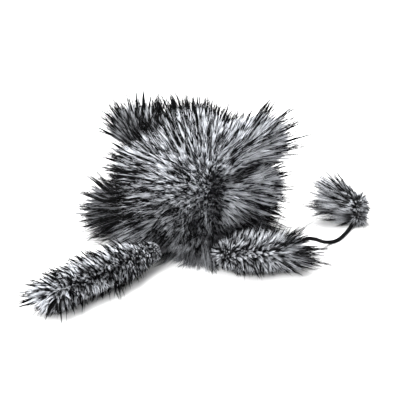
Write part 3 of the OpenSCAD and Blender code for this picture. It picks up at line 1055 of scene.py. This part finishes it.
def makeTuftSkin():
    # a small pear of cloth, tied at the knot and drawn over the bead
    knot, bead = Vector(tuftShape["knot"]), Vector(tuftShape["bead"])
    parts = [addBall(knot, tuftShape["knotSize"]), addBall(bead, tuftShape["beadSize"]),
             addBall((knot + bead) / 2, tuftShape["knotSize"])]
    pear = joined(parts, "tuftCloth")
    addModifier(pear, "REMESH", mode="VOXEL", voxel_size=tuftShape["voxel"])
    addModifier(pear, "SMOOTH", factor=tuftShape["smoothFactor"], iterations=tuftShape["smooth"])
    return pear


tuftSkin = makeTuftSkin()
tuftAim = unit(np.array(tuftShape["aim"]))


def tuftFlowOf(p, n):
    forward = smoothStep(-0.5, 0.4, (n * tuftAim).sum(1))[:, None]
    lean = tuftShape["lean"] + tuftShape["tipLean"] * forward
    return unit(tuftShape["rise"] * n + lean * tuftAim)


def tuftLength(kind):
    short, long = tuftShape[kind]
    return lambda p, n: short + (long - short) * smoothStep(-0.1, 0.85, (n * tuftAim).sum(1))


# painted shade: the tuft's hairs are darker towards the floor, where shade falls under the tuft
def tuftPaintedShade(p):
    return tuftShape["lowPaintedShade"] + tuftShape["highShade"] * smoothStep(0.008, 0.019, p[:, 2])


tuftWoolLook = dict(strapWool, locks=0.3, wisps=1.6, hairs=7.0, rise=0.3, bend=0.0, droop=0.12)
tuftGuardLook = dict(strapGuard, locks=0.12, wisps=1.6, hairs=5.0, wispShort=0.3, rise=0.3, bend=0.0,
                     droop=0.1)
rng = np.random.default_rng(400)
tuftLimit = {"centre": cordRoute()[-1], "reach": tuftShape["reach"], "trim": tuftShape["trim"]}
tuftWool = growFur("tuftUnderfur", tuftSkin, tuftFlowOf, tuftLength("wool"), tuftWoolLook,
                   underfurMaterial, rng, limit=tuftLimit, shadeOf=tuftPaintedShade)
tuftHair = growFur("tuftGuardHair", tuftSkin, tuftFlowOf, tuftLength("guard"), tuftGuardLook,
                   guardMaterial, rng, limit=tuftLimit)
tuftSkin.data.materials.append(finishes["knitBacking"])
for piece in (tuftWool, tuftHair, tuftSkin):
    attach(piece, "cord")

# the thread round the tuft, and the knot in the cord's end
knotShape = {"middle": (0.1118, 0.0801, 0.0079), "size": 0.0023, "strand": 0.0012, "gap": 0.12,
             "depth": 1.6, "steps": 72, "sides": 12}
threadShape = {"middle": (0.1118, 0.0801, 0.011), "thick": 0.00035, "ring": 0.0034, "turns": 6,
               "steps": 180, "sides": 8}


def knotLine():
    # one pass of an overhand knot, left open where its ends would meet
    middle, size, gap = Vector(knotShape["middle"]), knotShape["size"], knotShape["gap"]
    line = []
    for i in range(knotShape["steps"] + 1):
        t = gap + (2 * math.pi - 2 * gap) * i / knotShape["steps"]
        turn = Vector((math.sin(t) + 2 * math.sin(2 * t), math.cos(t) - 2 * math.cos(2 * t),
                       -knotShape["depth"] * math.sin(3 * t)))
        line.append(middle + turn * size / 3)
    return line


def threadLine():
    middle, ring, turns = Vector(threadShape["middle"]), threadShape["ring"], threadShape["turns"]
    line = []
    for i in range(threadShape["steps"] + 1):
        t = i / threadShape["steps"]
        turn = 2 * math.pi * turns * t
        rise = 2 * threadShape["thick"] * turns * (t - 0.5)
        line.append(middle + Vector((ring * math.cos(turn), ring * math.sin(turn), rise)))
    return line


cordKnot = sweptTube("cordKnot", knotLine(), knotShape["strand"], knotShape["sides"])
cordKnot.data.materials.append(pullCord.data.materials[0])
tuftThread = sweptTube("tuftThread", threadLine(), threadShape["thick"], threadShape["sides"])
tuftThread.data.materials.append(finishes["bindingThread"])
for piece, node, slot in ((cordKnot, "cord_knot", "cord"), (tuftThread, "tuft_binding", "dark_cloth")):
    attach(piece, "cord")
    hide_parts(node)
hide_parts("tuft_fur")

frameFinishes = {"base_panel": "knitBacking", "mesh_lining": "liningMesh", "foam_core": "openCellFoam",
                 "seam_tapes": "bindingTape", "mouth_collar": "elasticRib",
                 "draw_channel": "bindingTape", "mouth_cord": "plainBraid", "strap_cord": "plainBraid",
                 "front_anchor": "webbing", "side_anchor": "webbing", "eyelet": "blackEyelet",
                 "front_strap_webbing": "webbing", "side_strap_webbing": "webbing", "tuft_bead": "bead"}
for node, finish in frameFinishes.items():
    for place in bpy.data.objects[node].material_slots:
        place.material = finishes[finish]
print("frame parts finished")
